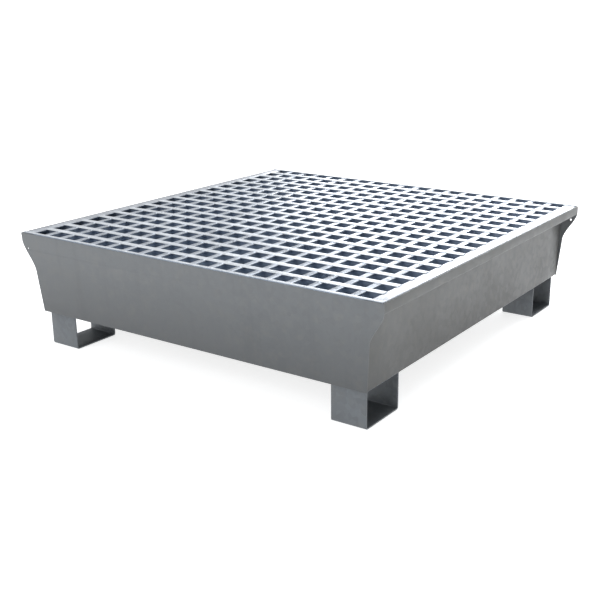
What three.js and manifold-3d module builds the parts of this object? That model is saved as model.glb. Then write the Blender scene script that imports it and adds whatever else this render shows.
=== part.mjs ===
// Spill containment pallet: a galvanised sheet-steel sump on four fork-lift feet,
// with a lift-out grating of T-bars and cross straps that carries the drums.
// Units are millimetres. +X runs along the front, +Y to the back, +Z up,
// and the origin is on the floor under the middle of the pallet.

import * as THREE from 'three';
import { mergeVertices } from 'three/addons/utils/BufferGeometryUtils.js';
import Module from 'manifold-3d';

const wasm = await Module();
wasm.setup();

// ---- driving dimensions -------------------------------------------------

const PALLET = 1200;            // outer length and width at the rim
const RIM_HEIGHT = 332;         // floor to the top of the sump's rim
const FORK_CLEARANCE = 102;     // floor to the underside of the sump
const FLOOR_WIDTH = 1098;       // outer width of the sump below its ledges
const SHEET = 3;                // sump sheet thickness
const LIP_HEIGHT = 28;          // outer height of the upstanding lip, ledge included
const BEND_RADIUS = 4.5;        // bend radius on the sheet's middle line
const PLATE_LEAN = 15.6;        // how far an end plate leans out between its foot and its top
const KNEE_HEIGHT = 224;        // where an end plate's steep side meets its flare
const KNEE_HALF_WIDTH = 559;    // half width of an end plate at that knee
const FLARE_TOP = 310;          // where an end plate's flare reaches the full width
const HOLE_HEIGHT = 287;        // small hanging hole in the left flare of each end plate
const HOLE_HALF_SPAN = 580.5;
const HOLE_DIAMETER = 6;
const GAP = 0.3;                // clearance kept between neighbouring pieces

const FOOT_LENGTH = 100;        // foot size along X
const FOOT_DEPTH = 150;         // foot size along Y
const FOOT_SHEET = 4;
const FOOT_SIDE_INSET = 60.5;   // from the rim's side to a foot's open end
const FOOT_END_INSET = 30.6;    // from the rim's end to a foot's closed face
const FOOT_BEND = 5;            // bend radius on the foot's middle line

const BAR_DEPTH = 28;           // depth of the grating's T-bars and bands
const BAR_THICKNESS = 3;        // webs, straps and edge angles of the grating
const FLANGE_WIDTH = 20;        // top flange of a bearing bar
const FLANGE_SHEET = 2;         // thickness of those flanges and of the bands
const BEARING_CELLS = 18;       // cells from front to back
const BEARING_PITCH = 66.5;
const STRAP_WIDTH = 18;         // flat cross straps, threaded through the bars under their flanges
const STRAP_CELLS = 19;         // cells from side to side
const STRAP_PITCH = 60;
const FLANGE_LAP = 2;           // how far a bearing bar's flange laps onto an edge angle
const END_PLAY = 2.2;           // space between an end band and the end plate at the rim
const SIDE_PLAY = 3;            // space between an edge angle and the lip

const SUPPORT_WIDTH = 60;       // middle support, an upside-down channel
const SUPPORT_SHEET = 4;
const SUPPORT_BEND = 6;         // bend radius on the support's middle line
const DRAIN_WIDTH = 90;         // drain arches along the support's foot
const DRAIN_HEIGHT = 35;
const DRAIN_COUNT = 5;

const LEDGE_ANGLE_LEG = 50;     // angles that widen the ledges inside the sump
const LEDGE_ANGLE_SHEET = 4;

// ---- derived sizes ------------------------------------------------------

const HALF = PALLET / 2;
const LEDGE_TOP = RIM_HEIGHT - LIP_HEIGHT + SHEET;
const FLOOR_TOP = FORK_CLEARANCE + SHEET;
const WALL_HALF = FLOOR_WIDTH / 2;
const GRATING_BOTTOM = LEDGE_TOP + GAP;
const GRATING_TOP = GRATING_BOTTOM + BAR_DEPTH;
const FLANGE_BOTTOM = GRATING_TOP - FLANGE_SHEET;
const STRAP_TOP = FLANGE_BOTTOM - GAP;
const STRAP_BOTTOM = STRAP_TOP - BAR_THICKNESS;
const PLATE_RISE = RIM_HEIGHT - FORK_CLEARANCE;
const LEAN_ANGLE = Math.atan2(PLATE_LEAN, PLATE_RISE);

// distance from the middle of the pallet to an end plate's outer face at a height
const plateReach = (z) => HALF - PLATE_LEAN * (RIM_HEIGHT - z) / PLATE_RISE;

const SLANTED_SHEET = SHEET / Math.cos(LEAN_ANGLE);
const BAND_REACH = plateReach(RIM_HEIGHT) - SLANTED_SHEET - END_PLAY;
const BAND_INNER = (BEARING_PITCH * BEARING_CELLS - FLANGE_WIDTH) / 2;
const STRAP_REACH = BAND_REACH - FLANGE_SHEET - GAP;
const EDGE_REACH = HALF - SHEET - SIDE_PLAY;
const EDGE_INNER = (STRAP_PITCH * STRAP_CELLS - STRAP_WIDTH) / 2;
const WEB_REACH = EDGE_REACH - BAR_THICKNESS - GAP;

// ---- finishes -----------------------------------------------------------

const sumpZinc = new THREE.MeshStandardMaterial({ color: 0x85898b, roughness: 0.5, metalness: 0.85 });
const footZinc = new THREE.MeshStandardMaterial({ color: 0x767c82, roughness: 0.5, metalness: 0.85 });
const barZinc = new THREE.MeshStandardMaterial({ color: 0xcfd6dd, roughness: 0.35, metalness: 0.9 });
const strapZinc = new THREE.MeshStandardMaterial({ color: 0xd6dce2, roughness: 0.35, metalness: 0.9 });
const innerZinc = new THREE.MeshStandardMaterial({ color: 0x6d747b, roughness: 0.55, metalness: 0.85 });

// ---- helpers ------------------------------------------------------------

// points of an open path with each inner corner rounded to a radius
function roundedPath(corners, radius, steps = 4) {
  const points = [corners[0].clone()];
  for (let i = 1; i < corners.length - 1; i += 1) {
    const corner = corners[i];
    const before = corners[i - 1].clone().sub(corner).normalize();
    const after = corners[i + 1].clone().sub(corner).normalize();
    const halfAngle = Math.acos(before.dot(after)) / 2;
    const centre = before.clone().add(after).normalize()
      .multiplyScalar(radius / Math.sin(halfAngle)).add(corner);
    const start = before.multiplyScalar(radius / Math.tan(halfAngle)).add(corner).sub(centre);
    const end = after.multiplyScalar(radius / Math.tan(halfAngle)).add(corner).sub(centre);
    const sweep = Math.atan2(start.cross(end), start.dot(end));
    for (let k = 0; k <= steps; k += 1) {
      points.push(start.clone().rotateAround(new THREE.Vector2(), sweep * k / steps).add(centre));
    }
  }
  points.push(corners[corners.length - 1].clone());
  return points;
}

// closed outline of a sheet that follows a middle line
function sheetOutline(corners, radius, thickness) {
  const middle = roundedPath(corners, radius);
  const offset = middle.map((point, i) => {
    const from = middle[Math.max(i - 1, 0)];
    const to = middle[Math.min(i + 1, middle.length - 1)];
    const inward = point.clone().sub(from).normalize();
    const outward = to.clone().sub(point).normalize();
    const along = inward.add(outward).normalize();
    const toNext = to.clone().sub(point).normalize();
    const widen = toNext.length() > 0 ? 1 / Math.max(along.dot(toNext), 0.7) : 1;
    return new THREE.Vector2(-along.y, along.x).multiplyScalar(widen * thickness / 2);
  });
  const left = middle.map((point, i) => point.clone().add(offset[i]));
  const right = middle.map((point, i) => point.clone().sub(offset[i]));
  return new THREE.Shape([...left, ...right.reverse()]);
}

function shapeOf(pairs) {
  return new THREE.Shape(pairs.map(([u, v]) => new THREE.Vector2(u, v)));
}

function extrude(shape, depth, curveSegments = 8) {
  return new THREE.ExtrudeGeometry(shape, { depth, bevelEnabled: false, curveSegments });
}

// a profile drawn in X and Z, extruded along Y and centred on it
function alongY(shape, length) {
  return extrude(shape, length).rotateX(Math.PI / 2).translate(0, length / 2, 0);
}

// a profile drawn in Y and Z, extruded along X and centred on it
function alongX(shape, length) {
  return extrude(shape, length).rotateY(Math.PI / 2).rotateX(Math.PI / 2).translate(-length / 2, 0, 0);
}

function box(width, depth, height, x, y, z) {
  return new THREE.BoxGeometry(width, depth, height).translate(x, y, z);
}

function toSolid(geometry) {
  const bare = geometry.clone();
  bare.deleteAttribute('normal');
  bare.deleteAttribute('uv');
  const merged = mergeVertices(bare, 1e-4);
  return new wasm.Manifold(new wasm.Mesh({
    numProp: 3,
    vertProperties: new Float32Array(merged.attributes.position.array),
    triVerts: new Uint32Array(merged.index.array),
  }));
}

function toGeometry(solid) {
  const mesh = solid.getMesh();
  const geometry = new THREE.BufferGeometry();
  geometry.setAttribute('position', new THREE.BufferAttribute(mesh.vertProperties, 3));
  geometry.setIndex(new THREE.BufferAttribute(mesh.triVerts, 1));
  geometry.computeVertexNormals();
  return geometry;
}

function piece(name, geometry, material) {
  const mesh = new THREE.Mesh(geometry, material);
  mesh.name = name;
  return mesh;
}

const two = (number) => String(number).padStart(2, '0');

// ---- sump ---------------------------------------------------------------

// floor, side walls, ledges and lips are one bent sheet, trimmed to the leaning end plates
function sumpPan() {
  const half = SHEET / 2;
  const side = (sign) => [
    new THREE.Vector2(sign * (HALF - half), RIM_HEIGHT),
    new THREE.Vector2(sign * (HALF - half), LEDGE_TOP - half),
    new THREE.Vector2(sign * (WALL_HALF - half), LEDGE_TOP - half),
    new THREE.Vector2(sign * (WALL_HALF - half), FLOOR_TOP - half),
  ];
  const middle = [...side(-1), ...side(1).reverse()];
  const sheet = toSolid(alongY(sheetOutline(middle, BEND_RADIUS, SHEET), PALLET));
  const reach = (z) => plateReach(z) - SLANTED_SHEET - GAP;
  const low = FORK_CLEARANCE - 10;
  const high = RIM_HEIGHT + 10;
  const between = toSolid(alongX(shapeOf([
    [-reach(low), low], [reach(low), low], [reach(high), high], [-reach(high), high],
  ]), PALLET + 20));
  return piece('sump_pan', toGeometry(sheet.intersect(between)), sumpZinc);
}

// flat plate with flared upper corners, closing one end of the sump
function endPlate(name, facing) {
  const up = (z) => (z - FORK_CLEARANCE) / Math.cos(LEAN_ANGLE);
  const flareBase = [KNEE_HALF_WIDTH + 2.5, up(KNEE_HEIGHT + 26)];
  const flareHead = [HALF, up(FLARE_TOP - 25)];
  const outline = new THREE.Shape();
  outline.moveTo(-WALL_HALF, 0);
  outline.lineTo(WALL_HALF, 0);
  outline.lineTo(KNEE_HALF_WIDTH, up(KNEE_HEIGHT));
  outline.bezierCurveTo(...flareBase, ...flareHead, HALF, up(FLARE_TOP));
  outline.lineTo(HALF, up(RIM_HEIGHT));
  outline.lineTo(-HALF, up(RIM_HEIGHT));
  outline.lineTo(-HALF, up(FLARE_TOP));
  outline.bezierCurveTo(-flareHead[0], flareHead[1], -flareBase[0], flareBase[1],
    -KNEE_HALF_WIDTH, up(KNEE_HEIGHT));
  const hole = new THREE.Path();
  hole.absarc(-HOLE_HALF_SPAN, up(HOLE_HEIGHT), HOLE_DIAMETER / 2, 0, 2 * Math.PI, true);
  outline.holes.push(hole);
  // the outer face starts at the sump's underside and leans out to the rim
  const plate = piece(name, extrude(outline, SHEET).rotateX(Math.PI / 2), sumpZinc);
  plate.position.y = SHEET;
  const leaning = new THREE.Group();
  leaning.add(plate);
  leaning.rotation.x = LEAN_ANGLE;
  leaning.position.set(0, -plateReach(FORK_CLEARANCE), FORK_CLEARANCE);
  const end = new THREE.Group();
  end.add(leaning);
  end.rotation.z = facing;
  return end;
}

// bent U of sheet, closed towards the pallet's end and open towards its sides
function foot(name, xSign, ySign) {
  const half = FOOT_SHEET / 2;
  const top = FORK_CLEARANCE - GAP;
  const outer = FOOT_DEPTH / 2 - half;
  const middle = [
    new THREE.Vector2(-outer, top),
    new THREE.Vector2(-outer, half),
    new THREE.Vector2(outer, half),
    new THREE.Vector2(outer, top),
  ];
  const mesh = piece(name, alongX(sheetOutline(middle, FOOT_BEND, FOOT_SHEET), FOOT_LENGTH), footZinc);
  mesh.position.set(
    xSign * (HALF - FOOT_SIDE_INSET - FOOT_LENGTH / 2),
    ySign * (HALF - FOOT_END_INSET - FOOT_DEPTH / 2),
    0,
  );
  return mesh;
}

// upside-down channel down the middle of the sump, with arches that let liquid cross
function middleSupport() {
  const half = SUPPORT_SHEET / 2;
  const length = 2 * (plateReach(FLOOR_TOP) - SLANTED_SHEET - GAP) - 2;
  const outer = SUPPORT_WIDTH / 2 - half;
  const middle = [
    new THREE.Vector2(-outer, FLOOR_TOP + GAP),
    new THREE.Vector2(-outer, GRATING_BOTTOM - GAP - half),
    new THREE.Vector2(outer, GRATING_BOTTOM - GAP - half),
    new THREE.Vector2(outer, FLOOR_TOP + GAP),
  ];
  let channel = toSolid(alongY(sheetOutline(middle, SUPPORT_BEND, SUPPORT_SHEET), length));
  for (let i = 0; i < DRAIN_COUNT; i += 1) {
    const y = length * ((i + 0.5) / DRAIN_COUNT - 0.5);
    const arch = new THREE.Shape();
    arch.moveTo(y - DRAIN_WIDTH / 2, FLOOR_TOP - 1);
    arch.lineTo(y + DRAIN_WIDTH / 2, FLOOR_TOP - 1);
    arch.absellipse(y, FLOOR_TOP, DRAIN_WIDTH / 2, DRAIN_HEIGHT, 0, Math.PI, false, 0);
    channel = channel.subtract(toSolid(alongX(arch, SUPPORT_WIDTH + 20)));
  }
  return piece('middle_support', toGeometry(channel), innerZinc);
}

// angle inside a side wall, which widens the ledge that the bearing bars rest on
function ledgeAngle(name, xSign) {
  const top = LEDGE_TOP;
  const back = WALL_HALF - SHEET - GAP;
  const bendRoom = BEND_RADIUS + SHEET;
  const outline = shapeOf([
    [back, top - bendRoom],
    [back, top - LEDGE_ANGLE_LEG],
    [back - LEDGE_ANGLE_SHEET, top - LEDGE_ANGLE_LEG],
    [back - LEDGE_ANGLE_SHEET, top - LEDGE_ANGLE_SHEET],
    [back - LEDGE_ANGLE_LEG, top - LEDGE_ANGLE_SHEET],
    [back - LEDGE_ANGLE_LEG, top],
    [back - bendRoom, top],
  ].map(([u, v]) => [xSign * u, v]));
  const length = 2 * (plateReach(top - LEDGE_ANGLE_LEG) - SLANTED_SHEET - GAP) - 2;
  return piece(name, alongY(outline, length), innerZinc);
}

// ---- grating ------------------------------------------------------------

// X positions of the cross straps
const strapPlaces = Array.from({ length: STRAP_CELLS - 1 },
  (unused, i) => STRAP_PITCH * (i + 1 - STRAP_CELLS / 2));

// web of a bearing bar, notched for the straps and stepped down under the edge angles
function webOutline() {
  const top = GRATING_TOP - FLANGE_SHEET / 2;
  const low = STRAP_BOTTOM - GAP;
  const inner = EDGE_INNER - GAP;
  const notchHalf = STRAP_WIDTH / 2 + GAP;
  const outline = [[-WEB_REACH, GRATING_BOTTOM], [-WEB_REACH, low], [-inner, low], [-inner, top]];
  for (const x of strapPlaces) {
    outline.push([x - notchHalf, top], [x - notchHalf, low]);
    outline.push([x + notchHalf, low], [x + notchHalf, top]);
  }
  outline.push([inner, top], [inner, low], [WEB_REACH, low], [WEB_REACH, GRATING_BOTTOM]);
  return shapeOf(outline);
}

// T-bars that run from side to side, one flange under each line of cells
function bearingBars() {
  const flange = box(2 * (EDGE_INNER + FLANGE_LAP), FLANGE_WIDTH, FLANGE_SHEET,
    0, 0, GRATING_TOP - FLANGE_SHEET / 2);
  const section = toSolid(flange).add(toSolid(alongY(webOutline(), BAR_THICKNESS)));
  const bars = [];
  for (let i = 1; i < BEARING_CELLS; i += 1) {
    const bar = piece(`bearing_bar_${two(i)}`, toGeometry(section), barZinc);
    bar.position.y = BEARING_PITCH * (i - BEARING_CELLS / 2);
    bars.push(bar);
  }
  return bars;
}

// closed outline of an angle whose flat leg is on top and whose other leg is on the outside
function angleOutline(inner, reach, top, sheet, sign) {
  return shapeOf([
    [inner, top - sheet],
    [inner, top],
    [reach, top],
    [reach, GRATING_BOTTOM],
    [reach - sheet, GRATING_BOTTOM],
    [reach - sheet, top - sheet],
  ].map(([u, v]) => [sign * u, v]));
}

// narrow angle across the front or the back, level with the bearing bars
function band(name, ySign) {
  const outline = angleOutline(BAND_INNER, BAND_REACH, GRATING_TOP, FLANGE_SHEET, ySign);
  return piece(name, alongX(outline, 2 * EDGE_REACH), barZinc);
}

// wide angle along one side, level with the straps
function edgeAngle(name, xSign) {
  const outline = angleOutline(EDGE_INNER, EDGE_REACH, STRAP_TOP, BAR_THICKNESS, xSign);
  return piece(name, alongY(outline, 2 * STRAP_REACH), barZinc);
}

function crossStraps() {
  const middle = STRAP_TOP - BAR_THICKNESS / 2;
  return strapPlaces.map((x, i) => piece(`cross_strap_${two(i + 1)}`,
    box(STRAP_WIDTH, 2 * STRAP_REACH, BAR_THICKNESS, x, 0, middle), strapZinc));
}

// ---- assembly -----------------------------------------------------------

const sump = new THREE.Group();
sump.add(sumpPan(), endPlate('front_end_plate', 0), endPlate('back_end_plate', Math.PI));
sump.add(middleSupport(), ledgeAngle('left_ledge_angle', -1), ledgeAngle('right_ledge_angle', 1));
for (const [end, ySign] of [['front', -1], ['back', 1]]) {
  for (const [side, xSign] of [['left', -1], ['right', 1]]) {
    sump.add(foot(`${end}_${side}_foot`, xSign, ySign));
  }
}

const grating = new THREE.Group();
grating.add(band('front_band', -1), ...bearingBars(), band('back_band', 1));
grating.add(...crossStraps());
grating.add(edgeAngle('left_edge_angle', -1), edgeAngle('right_edge_angle', 1));

const pallet = new THREE.Group();
pallet.add(sump, grating);

export default pallet;
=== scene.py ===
"""Looks of a galvanised spill containment pallet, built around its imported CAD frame.

Everything is in metres in the CAD frame: +X along the front, +Y to the back, +Z up,
with the origin on the floor under the middle of the pallet.
"""

import math
import random

import bmesh
import bpy
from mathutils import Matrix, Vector


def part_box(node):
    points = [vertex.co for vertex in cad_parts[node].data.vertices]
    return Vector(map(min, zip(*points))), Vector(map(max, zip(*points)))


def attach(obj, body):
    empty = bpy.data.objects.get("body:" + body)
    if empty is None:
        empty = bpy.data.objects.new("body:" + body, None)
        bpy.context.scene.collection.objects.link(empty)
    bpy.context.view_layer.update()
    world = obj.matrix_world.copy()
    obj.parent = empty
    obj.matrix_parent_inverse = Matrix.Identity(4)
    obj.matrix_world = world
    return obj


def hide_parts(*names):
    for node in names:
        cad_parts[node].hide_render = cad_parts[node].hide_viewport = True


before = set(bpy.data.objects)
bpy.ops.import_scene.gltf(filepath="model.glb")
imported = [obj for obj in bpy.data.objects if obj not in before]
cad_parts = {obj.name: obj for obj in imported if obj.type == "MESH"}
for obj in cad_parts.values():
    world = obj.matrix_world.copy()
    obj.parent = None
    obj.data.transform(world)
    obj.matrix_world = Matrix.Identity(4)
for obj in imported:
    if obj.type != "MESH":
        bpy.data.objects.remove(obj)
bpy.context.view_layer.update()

MM = 0.001

# ---- camera and light ---------------------------------------------------

CAMERA_AZIMUTH = 34.0       # degrees to the right of straight on
CAMERA_ELEVATION = 17.9     # degrees above the horizontal
CAMERA_ROLL = -0.17
CAMERA_PLACE = (1.635, -2.357, 0.995)
CAMERA_LENS = 58.6
CAMERA_SHIFT = (-0.045, 0.0034)

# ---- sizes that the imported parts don't state ----------------------------

SHEET = 3.0 * MM            # sump sheet
FOOT_SHEET = 4.0 * MM
BEND = 4.5 * MM             # bend radius of the sump sheet on its middle line
FOOT_BEND = 5.0 * MM
EDGE_ROUND = 0.5 * MM       # rounding that zinc leaves on every cut edge
FOOT_ROUND = 0.6 * MM
BAR_ROUND = 0.5 * MM
TRIM_BEND = 2.0 * MM        # bend radius of the bands and edge angles on their middle line
BAR = 3.0 * MM              # webs, straps and edge angles of the grating
FLANGE_LAP = 2.0 * MM       # how far a bearing bar's flange laps onto an edge angle
SHOULDER_WIDTH = 4.0 * MM   # rolled shoulders along a bearing bar's flange
SHOULDER_DROP = 1.2 * MM
FLANGE_ARRIS = 0.3 * MM     # small flat along a flange's lower edge
SLOT_PLAY = 0.3 * MM
WELD_LEG = 2.4 * MM         # short fillet welds of the deck
WELD_RINGS = 7
WELD_SINK = 0.2 * MM        # how far a weld reaches into the pieces it joins
FLARE_BASE = 224.0 * MM     # height where an end plate's steep side meets its flare
FLARE_BASE_PULL = Vector((2.5 * MM, 26.0 * MM))     # how its curve leaves that knee
FLARE_TOP_PULL = 25.0 * MM
FLARE_STEPS = 20
HOLE_SIDES = 24
FLARE_TOP = 310.0 * MM      # height where the flare reaches the full width
FLARE_HALF_WIDTH = 559.0 * MM
PLATE_LEAN = 15.6 * MM      # how far an end plate leans out between its foot and its top
HOLE_HEIGHT = 287.0 * MM
HOLE_HALF_SPAN = 580.5 * MM
HOLE_RADIUS = 3.0 * MM

# ---- places read from the frame -----------------------------------------

pan_low, pan_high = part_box("sump_pan")
bar_low, bar_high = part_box("bearing_bar_01")
strap_low, strap_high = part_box("cross_strap_01")
angle_low, angle_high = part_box("right_edge_angle")
ledge_low, ledge_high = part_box("right_ledge_angle")

RIM_Z = pan_high.z
FLOOR_Z = pan_low.z
HALF = pan_high.x
LEDGE_TOP = ledge_high.z
WALL_HALF = ledge_high.x + SHEET + SLOT_PLAY
BAR_TOP = bar_high.z
BAR_BOTTOM = bar_low.z
FLANGE_HALF = (bar_high.y - bar_low.y) / 2
FLANGE_REACH = angle_low.x + FLANGE_LAP
STRAP_TOP = strap_high.z
STRAP_BOTTOM = strap_low.z
FLANGE_BOTTOM = STRAP_TOP + SLOT_PLAY
FLANGE = BAR_TOP - FLANGE_BOTTOM
STRAP_HALF = (strap_high.x - strap_low.x) / 2
PLATE_RISE = RIM_Z - FLOOR_Z

STRAP_NAMES = sorted(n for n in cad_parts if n.startswith("cross_strap_"))
BEARING_NAMES = sorted(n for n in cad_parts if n.startswith("bearing_bar_"))
BAND_NAMES = ["front_band", "back_band"]
STRAP_X = [(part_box(n)[0].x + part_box(n)[1].x) / 2 for n in STRAP_NAMES]
BEARING_Y = [(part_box(n)[0].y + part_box(n)[1].y) / 2 for n in BEARING_NAMES]


def plate_reach(z):
    """Distance from the middle of the pallet to an end plate's outer face at height z."""
    return HALF - PLATE_LEAN * (RIM_Z - z) / PLATE_RISE


# ---- finishes, with painted light and shade -----------------------------

FOOT_TO_RIM_PAINTED_SHADE = (0.50, 0.83)          # how bright the sump's zinc is painted at its foot and at its rim: painted shade, darker towards the foot where less light reaches
WALL_WARM_REFLECTION = (0.93, 0.90, 0.85)      # painted warm reflection on the side walls against the end plates
INSIDE_PAINTED_LIGHT = (0.44, 0.51, 0.60)  # painted light: zinc inside the sump, seen through the deck, painted paler than the sheet outside
WEB_PAINTED_SHADE = (0.30, 0.36, 0.46)     # painted shade: webs under the bright flanges

# ---- node material helpers ----------------------------------------------


class Tree:
    """Short calls for building a material's node tree."""

    def __init__(self, name):
        self.material = bpy.data.materials.new(name)
        self.material.use_nodes = True
        self.nodes = self.material.node_tree.nodes
        self.links = self.material.node_tree.links
        self.nodes.clear()
        output = self.nodes.new("ShaderNodeOutputMaterial")
        self.shader = self.nodes.new("ShaderNodeBsdfPrincipled")
        self.links.new(self.shader.outputs[0], output.inputs[0])
        self.coords = self.nodes.new("ShaderNodeTexCoord").outputs["Object"]

    def feed(self, socket, value):
        if isinstance(value, bpy.types.NodeSocket):
            self.links.new(value, socket)
        elif isinstance(value, (tuple, list)) and len(value) == 3 and socket.type == "RGBA":
            socket.default_value = (*value, 1.0)
        else:
            socket.default_value = value

    def scaled(self, scale):
        node = self.nodes.new("ShaderNodeMapping")
        self.links.new(self.coords, node.inputs["Vector"])
        node.inputs["Scale"].default_value = scale
        return node.outputs[0]

    def noise(self, scale, detail=3.0, roughness=0.55, vector=None, distortion=0.0):
        node = self.nodes.new("ShaderNodeTexNoise")
        self.feed(node.inputs["Vector"], self.coords if vector is None else vector)
        node.inputs["Scale"].default_value = scale
        node.inputs["Detail"].default_value = detail
        node.inputs["Roughness"].default_value = roughness
        node.inputs["Distortion"].default_value = distortion
        return node.outputs[0]

    def cells(self, scale):
        node = self.nodes.new("ShaderNodeTexVoronoi")
        self.links.new(self.coords, node.inputs["Vector"])
        node.inputs["Scale"].default_value = scale
        return node.outputs["Color"]

    def remap(self, value, low, high, out_low, out_high, smooth=True):
        node = self.nodes.new("ShaderNodeMapRange")
        node.interpolation_type = "SMOOTHSTEP" if smooth else "LINEAR"
        self.feed(node.inputs["Value"], value)
        node.inputs["From Min"].default_value = low
        node.inputs["From Max"].default_value = high
        node.inputs["To Min"].default_value = out_low
        node.inputs["To Max"].default_value = out_high
        return node.outputs[0]

    def math(self, operation, a, b=0.0):
        node = self.nodes.new("ShaderNodeMath")
        node.operation = operation
        self.feed(node.inputs[0], a)
        self.feed(node.inputs[1], b)
        return node.outputs[0]

    def mix(self, factor, a, b, blend="MIX"):
        node = self.nodes.new("ShaderNodeMix")
        node.data_type = "RGBA"
        node.blend_type = blend
        self.feed(node.inputs["Factor"], factor)
        self.feed(node.inputs["A"], a)
        self.feed(node.inputs["B"], b)
        return node.outputs["Result"]

    def separate(self, vector):
        node = self.nodes.new("ShaderNodeSeparateXYZ")
        self.links.new(vector, node.inputs[0])
        return node.outputs

    def bump(self, height, distance, strength=1.0, under=None):
        node = self.nodes.new("ShaderNodeBump")
        node.inputs["Strength"].default_value = strength
        node.inputs["Distance"].default_value = distance
        self.feed(node.inputs["Height"], height)
        if under is not None:
            self.links.new(under, node.inputs["Normal"])
        return node.outputs[0]


def zinc(name, light, dark, tint, metallic, rough, spangle=14.0, contrast=0.12, grime=0.25):
    """Hot-dip zinc: spangle crystals, cloudy patches, run marks down the faces and fine grain."""
    tree = Tree(name)
    crystal = tree.separate(tree.cells(1.0 / (spangle * MM)))[0]
    clouds = tree.noise(5.5, 4.0, 0.6, distortion=0.4)
    patches = tree.noise(38.0, 3.0, 0.55)
    runs = tree.noise(1.0, 3.0, 0.6, tree.scaled((30.0, 30.0, 2.2)))
    grain = tree.noise(700.0, 2.0, 0.6)

    colour = tree.mix(tree.remap(clouds, 0.35, 0.68, 0.0, 1.0), dark, light)
    colour = tree.mix(tree.remap(patches, 0.45, 0.75, 0.0, 0.5), colour, tint)
    shade = tree.remap(crystal, 0.0, 1.0, 1.0 - contrast, 1.0 + contrast, smooth=False)
    colour = tree.mix(1.0, colour, shade, "MULTIPLY")
    dust = tree.remap(runs, 0.52, 0.80, 0.0, grime)
    colour = tree.mix(dust, colour, tuple(0.55 * c for c in dark))
    tree.feed(tree.shader.inputs["Base Color"], colour)
    tree.shader.inputs["Metallic"].default_value = metallic
    wander = tree.math("ADD", tree.remap(clouds, 0.3, 0.7, -0.06, 0.06),
                       tree.remap(crystal, 0.0, 1.0, -0.07, 0.07, smooth=False))
    tree.feed(tree.shader.inputs["Roughness"], tree.math("ADD", wander, rough))
    facet = tree.bump(crystal, 0.10 * MM, 0.25)
    orange_peel = tree.bump(tree.noise(120.0, 2.0, 0.5), 0.15 * MM, 0.35, facet)
    sag = tree.bump(tree.noise(4.0, 1.0, 0.4), 6.0 * MM, 0.12, orange_peel)
    tree.feed(tree.shader.inputs["Normal"], tree.bump(grain, 0.05 * MM, 0.3, sag))
    return tree


def sump_zinc(tree):
    """Darkens the sump's zinc towards its foot with painted shade, gives its side walls a warm
    painted reflection and paints light on its inside to leave it pale.
    """
    bright = tree.shader.inputs["Base Color"].links[0].from_socket
    x, y, z = tree.separate(tree.coords)[:3]
    lean = tree.math("MULTIPLY", tree.math("SUBTRACT", RIM_Z, z), PLATE_LEAN / PLATE_RISE)
    along = tree.math("ADD", tree.math("ABSOLUTE", y), lean)
    across = tree.math("ABSOLUTE", x)
    # painted shade: the sheet grows darker towards its foot, where less light reaches it
    painted_foot_shade = tree.remap(z, FLOOR_Z, RIM_Z, *FOOT_TO_RIM_PAINTED_SHADE, smooth=False)
    colour = tree.mix(1.0, bright, painted_foot_shade, "MULTIPLY")
    # painted reflection: the side walls get a warm cast multiplied into their colour
    wall = tree.math("LESS_THAN", along, HALF - SHEET - SLOT_PLAY)
    colour = tree.mix(wall, colour, tree.mix(1.0, colour, WALL_WARM_REFLECTION, "MULTIPLY"))
    # painted light: the inside of the sump, in shade under the deck, is painted paler than its
    # outside
    inside = tree.math("MULTIPLY", tree.math("LESS_THAN", across, WALL_HALF - SHEET / 2),
                       tree.math("LESS_THAN", along, HALF - SHEET / 2))
    inside = tree.math("MULTIPLY", inside, tree.math("GREATER_THAN", z, FLOOR_Z + SHEET / 2))
    tree.feed(tree.shader.inputs["Base Color"], tree.mix(inside, colour, INSIDE_PAINTED_LIGHT))
    return tree


def bar_zinc(name, metallic, rough):
    """Bright T-bar: shiny flange above a darker, bluer web whose colour is painted shade under
    the flange.
    """
    tree = zinc(name, (0.80, 0.83, 0.87), (0.70, 0.73, 0.77), (0.84, 0.86, 0.89),
                metallic, rough, spangle=9.0, contrast=0.06, grime=0.1)
    bright = tree.shader.inputs["Base Color"].links[0].from_socket
    height = tree.separate(tree.coords)[2]
    # painted shade: below the flange the bar's zinc turns dark slate, standing in for the shade
    # under the flange
    flange_lit_share = tree.remap(height, FLANGE_BOTTOM - 2 * MM, FLANGE_BOTTOM + 1 * MM, 0.0, 1.0)
    tree.feed(tree.shader.inputs["Base Color"],
              tree.mix(flange_lit_share, WEB_PAINTED_SHADE, bright))
    return tree


ZINC_SHEET = sump_zinc(zinc("zinc_sheet", (0.190, 0.200, 0.208), (0.166, 0.176, 0.185),
                            (0.205, 0.208, 0.205), 0.45, 0.5, contrast=0.07, grime=0.15)).material
ZINC_FOOT = zinc("zinc_foot", (0.145, 0.157, 0.168), (0.125, 0.136, 0.148), (0.15, 0.156, 0.158),
                 0.5, 0.48).material
# painted light: the parts under the deck are painted paler than the sump's sheet, lifting their
# shade
ZINC_INNER_PAINTED_LIGHT = zinc("zinc_inner_painted_light", (0.42, 0.47, 0.54), (0.32, 0.37, 0.43), (0.44, 0.47, 0.50),
                  0.5, 0.5).material
ZINC_BAR = bar_zinc("zinc_bar", 0.5, 0.36).material
ZINC_STRAP = zinc("zinc_strap", (0.64, 0.68, 0.74), (0.54, 0.58, 0.64), (0.70, 0.72, 0.78),
                  0.85, 0.33, spangle=9.0, contrast=0.07, grime=0.1).material
ZINC_EDGE = zinc("zinc_edge", (0.72, 0.75, 0.80), (0.62, 0.65, 0.70), (0.78, 0.79, 0.83),
                 0.85, 0.33, spangle=9.0, contrast=0.07, grime=0.1).material

# ---- mesh helpers -------------------------------------------------------


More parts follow.
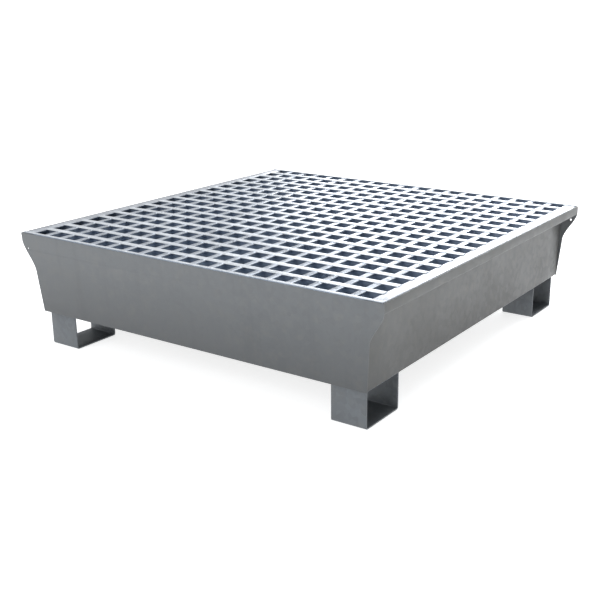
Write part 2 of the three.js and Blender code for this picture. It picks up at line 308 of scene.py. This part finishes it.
def mesh_object(name, bm, material, smooth_angle=35.0):
    """Turns a bmesh into a linked object with one material and smooth shading below an angle."""
    bmesh.ops.remove_doubles(bm, verts=bm.verts, dist=1e-6)
    bmesh.ops.recalc_face_normals(bm, faces=bm.faces)
    for face in bm.faces:
        face.smooth = True
    limit = math.radians(smooth_angle)
    for edge in bm.edges:
        edge.smooth = edge.is_manifold and edge.calc_face_angle(math.pi) < limit
    mesh = bpy.data.meshes.new(name)
    bm.to_mesh(mesh)
    bm.free()
    mesh.materials.append(material)
    piece = bpy.data.objects.new(name, mesh)
    bpy.context.scene.collection.objects.link(piece)
    return piece


def fit_to_node(piece, body, node):
    """The piece rides on a body and stands for one CAD node."""
    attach(piece, body)
    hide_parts(node)
    return piece


def extra(piece, body):
    """The piece rides on a body beside the CAD nodes."""
    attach(piece, body)
    return piece


def rounded_path(corners, radius, steps=8):
    """Points of an open path whose inner corners are rounded."""
    points = [corners[0]]
    for before, corner, after in zip(corners, corners[1:], corners[2:]):
        to_before = (before - corner).normalized()
        to_after = (after - corner).normalized()
        half = to_before.angle(to_after) / 2
        centre = corner + (to_before + to_after).normalized() * radius / math.sin(half)
        start = corner + to_before * radius / math.tan(half) - centre
        sweep = start.angle_signed(corner + to_after * radius / math.tan(half) - centre)
        for k in range(steps + 1):
            turn = -sweep * k / steps
            c, s = math.cos(turn), math.sin(turn)
            points.append(centre + Vector((c * start.x - s * start.y, s * start.x + c * start.y)))
    points.append(corners[-1])
    return points


def sheet_sides(middle, thickness):
    """Left and right faces of a sheet that follows a middle line."""
    left, right = [], []
    for i, point in enumerate(middle):
        before = point - middle[i - 1] if i else middle[1] - point
        after = middle[i + 1] - point if i + 1 < len(middle) else before
        along = (before.normalized() + after.normalized()).normalized()
        across = Vector((-along.y, along.x)) * thickness / 2
        left.append(point + across)
        right.append(point - across)
    return left, right


def sheet_mesh(middle, thickness, ends, place, cuts=1):
    """Sweeps a sheet profile between its two ends.

    ends(point) gives the run's start and end for a profile point, and place(point, run)
    its 3-D place.
    """
    left, right = sheet_sides(middle, thickness)
    bm = bmesh.new()
    rings = []
    for k in range(cuts + 1):
        share = k / cuts
        ring = []
        for point in left + right[::-1]:
            start, stop = ends(point)
            ring.append(bm.verts.new(place(point, start + (stop - start) * share)))
        rings.append(ring)
    count = len(rings[0])
    for low, high in zip(rings, rings[1:]):
        for i in range(count):
            j = (i + 1) % count
            bm.faces.new((low[i], low[j], high[j], high[i]))
    half = len(left)
    for ring in (rings[0], rings[-1]):
        for i in range(half - 1):
            bm.faces.new((ring[i], ring[i + 1], ring[count - 2 - i], ring[count - 1 - i]))
    return bm


def round_edges(bm, width, segments=2, angle=60.0):
    """Bevels every edge sharper than an angle."""
    bmesh.ops.recalc_face_normals(bm, faces=bm.faces)
    limit = math.radians(angle)
    sharp = [e for e in bm.edges if e.is_manifold and e.calc_face_angle(0.0) > limit]
    bmesh.ops.bevel(bm, geom=sharp, offset=width, segments=segments, profile=0.5,
                    affect="EDGES", clamp_overlap=True)
    return bm


def outline_object(name, outline, holes, thickness, rounding, steps=3):
    """Flat plate from a closed outline and round holes, with rounded edges, lying in X and Y."""
    curve = bpy.data.curves.new(name + "_outline", "CURVE")
    curve.dimensions = "2D"
    curve.fill_mode = "BOTH"
    loops = [outline] + holes
    for loop in loops:
        spline = curve.splines.new("POLY")
        spline.points.add(len(loop) - 1)
        spline.use_cyclic_u = True
        for point, (x, y) in zip(spline.points, loop):
            point.co = (x, y, 0.0, 1.0)
    curve.extrude = thickness / 2 - rounding
    curve.bevel_depth = rounding
    curve.bevel_resolution = steps
    curve.offset = -rounding
    source = bpy.data.objects.new(name + "_outline", curve)
    bpy.context.scene.collection.objects.link(source)
    bpy.context.view_layer.update()
    flat = source.evaluated_get(bpy.context.evaluated_depsgraph_get()).to_mesh()
    bm = bmesh.new()
    bm.from_mesh(flat)
    bpy.data.objects.remove(source)
    return bm


# ---- sump ---------------------------------------------------------------


def pan_line():
    """Middle line of the pan's sheet, from the left lip to the right one."""
    half = SHEET / 2
    right = [
        Vector((HALF - half, RIM_Z)),
        Vector((HALF - half, LEDGE_TOP - half)),
        Vector((WALL_HALF - half, LEDGE_TOP - half)),
        Vector((WALL_HALF - half, FLOOR_Z + half)),
    ]
    left = [Vector((-p.x, p.y)) for p in right]
    return rounded_path(left + right[::-1], BEND)


def build_pan():
    slanted = SHEET / math.cos(math.atan2(PLATE_LEAN, PLATE_RISE))

    def ends(point):
        reach = plate_reach(point.y) - slanted - SLOT_PLAY
        return -reach, reach

    bm = sheet_mesh(pan_line(), SHEET, ends, lambda p, run: Vector((p.x, run, p.y)), cuts=12)
    bm = round_edges(bm, EDGE_ROUND)
    return fit_to_node(mesh_object("pan_sheet", bm, ZINC_SHEET), "sump", "sump_pan")


def plate_outline():
    """Outline of an end plate, its second number measured up the leaning plate from its foot."""
    stretch = math.hypot(PLATE_LEAN, PLATE_RISE) / PLATE_RISE

    def up(z):
        return (z - FLOOR_Z) * stretch

    start = Vector((FLARE_HALF_WIDTH, up(FLARE_BASE)))
    low = Vector((FLARE_HALF_WIDTH + FLARE_BASE_PULL.x, up(FLARE_BASE + FLARE_BASE_PULL.y)))
    high = Vector((HALF, up(FLARE_TOP - FLARE_TOP_PULL)))
    stop = Vector((HALF, up(FLARE_TOP)))
    flare = []
    for k in range(FLARE_STEPS + 1):
        t = k / FLARE_STEPS
        u = 1 - t
        flare.append(start * u**3 + low * 3 * u * u * t + high * 3 * u * t * t + stop * t**3)
    right = [Vector((WALL_HALF, 0.0))] + flare + [Vector((HALF, up(RIM_Z)))]
    outline = right + [Vector((-p.x, p.y)) for p in right[::-1]]
    turns = [2 * math.pi * k / HOLE_SIDES for k in range(HOLE_SIDES)]
    hole = [(-HOLE_HALF_SPAN + HOLE_RADIUS * math.cos(turn),
             up(HOLE_HEIGHT) + HOLE_RADIUS * math.sin(turn)) for turn in turns]
    return [tuple(p) for p in outline], hole


def build_end_plate(name, node, side):
    """side is -1 for the front plate and 1 for the back one."""
    outline, hole = plate_outline()
    bm = outline_object(name, outline, [hole], SHEET, EDGE_ROUND)
    lean = math.atan2(PLATE_LEAN, PLATE_RISE)
    for vert in bm.verts:
        x, up, out = vert.co.x, vert.co.y, vert.co.z - SHEET / 2
        y = plate_reach(FLOOR_Z) + up * math.sin(lean) + out * math.cos(lean)
        z = FLOOR_Z + up * math.cos(lean) - out * math.sin(lean)
        vert.co = Vector((-side * x, side * y, z))
    return fit_to_node(mesh_object(name, bm, ZINC_SHEET), "sump", node)


def build_foot(name, node):
    low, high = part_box(node)
    half = FOOT_SHEET / 2
    corners = [
        Vector((low.y + half, high.z)),
        Vector((low.y + half, low.z + half)),
        Vector((high.y - half, low.z + half)),
        Vector((high.y - half, high.z)),
    ]
    bm = sheet_mesh(rounded_path(corners, FOOT_BEND), FOOT_SHEET, lambda p: (low.x, high.x),
                    lambda p, run: Vector((run, p.x, p.y)), cuts=4)
    bm = round_edges(bm, FOOT_ROUND)
    return fit_to_node(mesh_object(name, bm, ZINC_FOOT), "sump", node)


# ---- grating ------------------------------------------------------------


def web_outline():
    """Outline of a bearing bar's web, notched for the straps and stepped down at its ends."""
    step = STRAP_BOTTOM - SLOT_PLAY
    inner = angle_low.x - SLOT_PLAY
    reach = bar_high.x
    half = STRAP_HALF + SLOT_PLAY
    outline = [(-reach, BAR_BOTTOM), (-reach, step), (-inner, step), (-inner, FLANGE_BOTTOM)]
    for x in STRAP_X:
        outline += [(x - half, FLANGE_BOTTOM), (x - half, step)]
        outline += [(x + half, step), (x + half, FLANGE_BOTTOM)]
    outline += [(inner, FLANGE_BOTTOM), (inner, step), (reach, step), (reach, BAR_BOTTOM)]
    return outline


def flange_section():
    """Section of a rolled flange in Y and Z, its two top edges shouldered."""
    steps = 6
    far_side = []
    for k in range(steps + 1):
        turn = math.pi / 2 * k / steps
        far_side.append((FLANGE_HALF - SHOULDER_WIDTH * (1 - math.cos(turn)),
                         BAR_TOP - SHOULDER_DROP * (1 - math.sin(turn))))
    lower_edge = [(FLANGE_HALF - FLANGE_ARRIS, FLANGE_BOTTOM),
                  (FLANGE_HALF, FLANGE_BOTTOM + FLANGE_ARRIS)]
    far_side = lower_edge + far_side
    return far_side + [(-y, z) for y, z in far_side[::-1]]


def build_bearing_bar(node):
    low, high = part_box(node)
    middle = (low.y + high.y) / 2
    bm = outline_object(node, web_outline(), [], BAR, BAR_ROUND, steps=1)
    for vert in bm.verts:
        vert.co = Vector((vert.co.x, middle - vert.co.z, vert.co.y))
    bmesh.ops.remove_doubles(bm, verts=bm.verts, dist=1e-6)
    # the flange's ends draw in a little, as a cut and dipped end does
    rings = []
    for x, shrink in ((-FLANGE_REACH, BAR_ROUND), (-FLANGE_REACH + BAR_ROUND, 0.0),
                      (FLANGE_REACH - BAR_ROUND, 0.0), (FLANGE_REACH, BAR_ROUND)):
        rings.append([bm.verts.new((x, middle + y * (1 - shrink / FLANGE_HALF),
                                    z - shrink * (z - FLANGE_BOTTOM) / FLANGE))
                      for y, z in flange_section()])
    for start, stop in zip(rings, rings[1:]):
        for i in range(len(start)):
            j = (i + 1) % len(start)
            bm.faces.new((start[i], start[j], stop[j], stop[i]))
    bm.faces.new(rings[0])
    bm.faces.new(rings[-1][::-1])
    return fit_to_node(mesh_object(node + "_tee", bm, ZINC_BAR), "grating", node)


def box_mesh(low, high, rounding):
    """Rounded rectangular bar between two corners."""
    bm = bmesh.new()
    bmesh.ops.create_cube(bm, size=1.0)
    for vert in bm.verts:
        vert.co = Vector(tuple(a + (b - a) * (c + 0.5) for a, b, c in zip(low, high, vert.co)))
    return round_edges(bm, rounding)


def build_strap(node):
    low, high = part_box(node)
    bm = box_mesh(low, high, BAR_ROUND)
    return fit_to_node(mesh_object(node + "_flat", bm, ZINC_STRAP), "grating", node)


def bent_angle(inner, outer, low, high, sheet):
    """Middle line of an angle with its flat leg on top, from its inner edge to its outer foot."""
    half = sheet / 2
    wall = outer - math.copysign(half, outer)
    corners = [Vector((inner, high - half)), Vector((wall, high - half)), Vector((wall, low))]
    return rounded_path(corners, TRIM_BEND)


def build_edge_angle(node):
    low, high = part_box(node)
    inner, outer = (low.x, high.x) if high.x > 0 else (high.x, low.x)
    middle = bent_angle(inner, outer, low.z, high.z, BAR)
    bm = sheet_mesh(middle, BAR, lambda p: (low.y, high.y),
                    lambda p, run: Vector((p.x, run, p.y)), cuts=8)
    bm = round_edges(bm, BAR_ROUND)
    return fit_to_node(mesh_object(node + "_trim", bm, ZINC_EDGE), "grating", node)


def build_band(node):
    low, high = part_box(node)
    inner, outer = (low.y, high.y) if high.y > 0 else (high.y, low.y)
    middle = bent_angle(inner, outer, low.z, high.z, FLANGE)
    bm = sheet_mesh(middle, FLANGE, lambda p: (low.x, high.x),
                    lambda p, run: Vector((run, p.x, p.y)), cuts=8)
    bm = round_edges(bm, BAR_ROUND)
    return fit_to_node(mesh_object(node + "_trim", bm, ZINC_BAR), "grating", node)


def build_deck_welds():
    """Short fillet welds where each flange edge crosses a strap."""
    bm = bmesh.new()
    draw = random.Random(5)
    for y in BEARING_Y:
        for x in STRAP_X:
            for side in (1, -1):
                corner = y + side * (FLANGE_HALF - 0.4 * MM)
                reach = STRAP_HALF - draw.uniform(1.0, 3.0) * MM
                rings = []
                for k in range(WELD_RINGS):
                    share = 2 * k / (WELD_RINGS - 1) - 1
                    swell = math.sqrt(max(1.0 - share ** 4, 0.02))
                    size = WELD_LEG * swell * draw.uniform(0.9, 1.1)
                    foot = STRAP_TOP - WELD_SINK / 2
                    ring = []
                    for turn in (0.0, 22.5, 45.0, 67.5, 90.0):
                        arc = math.radians(turn)
                        ring.append(bm.verts.new((x + reach * share,
                                                  corner + side * size * math.cos(arc),
                                                  foot + 0.9 * size * math.sin(arc))))
                    ring.append(bm.verts.new((x + reach * share, corner - side * 0.3 * MM,
                                              STRAP_TOP - WELD_SINK)))
                    rings.append(ring)
                for start, stop in zip(rings, rings[1:]):
                    for i in range(6):
                        j = (i + 1) % 6
                        bm.faces.new((start[i], start[j], stop[j], stop[i]))
                bm.faces.new(rings[0])
                bm.faces.new(rings[-1][::-1])
    return extra(mesh_object("deck_welds", bm, ZINC_STRAP, 60.0), "grating")


# ---- build --------------------------------------------------------------

build_pan()
build_end_plate("front_plate_skin", "front_end_plate", -1)
build_end_plate("back_plate_skin", "back_end_plate", 1)
for foot_node in sorted(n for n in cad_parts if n.endswith("_foot")):
    build_foot(foot_node + "_channel", foot_node)
for bar_node in BEARING_NAMES:
    build_bearing_bar(bar_node)
for band_node in BAND_NAMES:
    build_band(band_node)
for strap_node in STRAP_NAMES:
    build_strap(strap_node)
for angle_node in ("left_edge_angle", "right_edge_angle"):
    build_edge_angle(angle_node)
build_deck_welds()
# the parts under the deck take the zinc with painted light
for inner_node in ("middle_support", "left_ledge_angle", "right_ledge_angle"):
    node_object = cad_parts[inner_node]
    for material_slot in node_object.material_slots:
        material_slot.material = ZINC_INNER_PAINTED_LIGHT

# ---- stage --------------------------------------------------------------


def build_floor():
    bm = bmesh.new()
    bmesh.ops.create_grid(bm, x_segments=8, y_segments=8, size=400.0)
    tree = Tree("studio_floor")
    tree.shader.inputs["Base Color"].default_value = (0.86, 0.86, 0.86, 1.0)
    tree.shader.inputs["Roughness"].default_value = 0.9
    tree.shader.inputs["Emission Color"].default_value = (1.0, 1.0, 1.0, 1.0)
    tree.shader.inputs["Emission Strength"].default_value = 0.72
    floor = mesh_object("studio_floor", bm, tree.material)


def build_camera():
    camera = bpy.data.cameras.new("camera")
    camera.lens = CAMERA_LENS
    camera.sensor_width = 36.0
    camera.shift_x, camera.shift_y = CAMERA_SHIFT
    camera.clip_end = 1000.0
    holder = bpy.data.objects.new("camera", camera)
    holder.location = CAMERA_PLACE
    holder.rotation_mode = "XYZ"
    azimuth, elevation = math.radians(CAMERA_AZIMUTH), math.radians(CAMERA_ELEVATION)
    back = Vector((math.sin(azimuth) * math.cos(elevation),
                   -math.cos(azimuth) * math.cos(elevation), math.sin(elevation)))
    turn = back.to_track_quat("Z", "Y").to_matrix()
    roll = math.radians(CAMERA_ROLL)
    right, up = turn.col[0], turn.col[1]
    turn.col[0] = right * math.cos(roll) + up * math.sin(roll)
    turn.col[1] = -right * math.sin(roll) + up * math.cos(roll)
    holder.rotation_euler = turn.to_euler()
    bpy.context.scene.collection.objects.link(holder)
    bpy.context.scene.camera = holder


def softbox(name, place, target, size, power, colour=(1.0, 1.0, 1.0)):
    light = bpy.data.lights.new(name, "AREA")
    light.shape = "RECTANGLE"
    light.size, light.size_y = size
    light.energy = power
    light.color = colour
    holder = bpy.data.objects.new(name, light)
    holder.location = place
    aim = Vector(place) - Vector(target)
    holder.rotation_euler = aim.to_track_quat("Z", "Y").to_euler()
    holder.visible_camera = False
    bpy.context.scene.collection.objects.link(holder)


def build_light():
    world = bpy.data.worlds.new("studio")
    world.use_nodes = True
    background = world.node_tree.nodes["Background"]
    background.inputs["Color"].default_value = (0.97, 0.985, 1.0, 1.0)
    background.inputs["Strength"].default_value = 0.55
    bpy.context.scene.world = world
    softbox("overhead", (0.0, 0.4, 3.2), (0.0, 0.2, 0.3), (3.0, 3.0), 60.0, (0.94, 0.97, 1.0))
    softbox("back", (0.3, 3.6, 1.5), (0.2, 0.0, 0.35), (2.6, 2.0), 84.0, (0.95, 0.97, 1.0))
    softbox("back_left", (-1.5, 3.2, 1.5), (0.5, -0.4, 0.33), (1.4, 1.4), 22.0, (0.97, 0.98, 1.0))
    softbox("front", (-0.8, -3.0, 1.8), (0.0, 0.0, 0.3), (2.0, 1.5), 25.0, (0.96, 0.98, 1.0))
    bpy.context.scene.view_settings.view_transform = "Standard"


build_floor()
build_camera()
build_light()
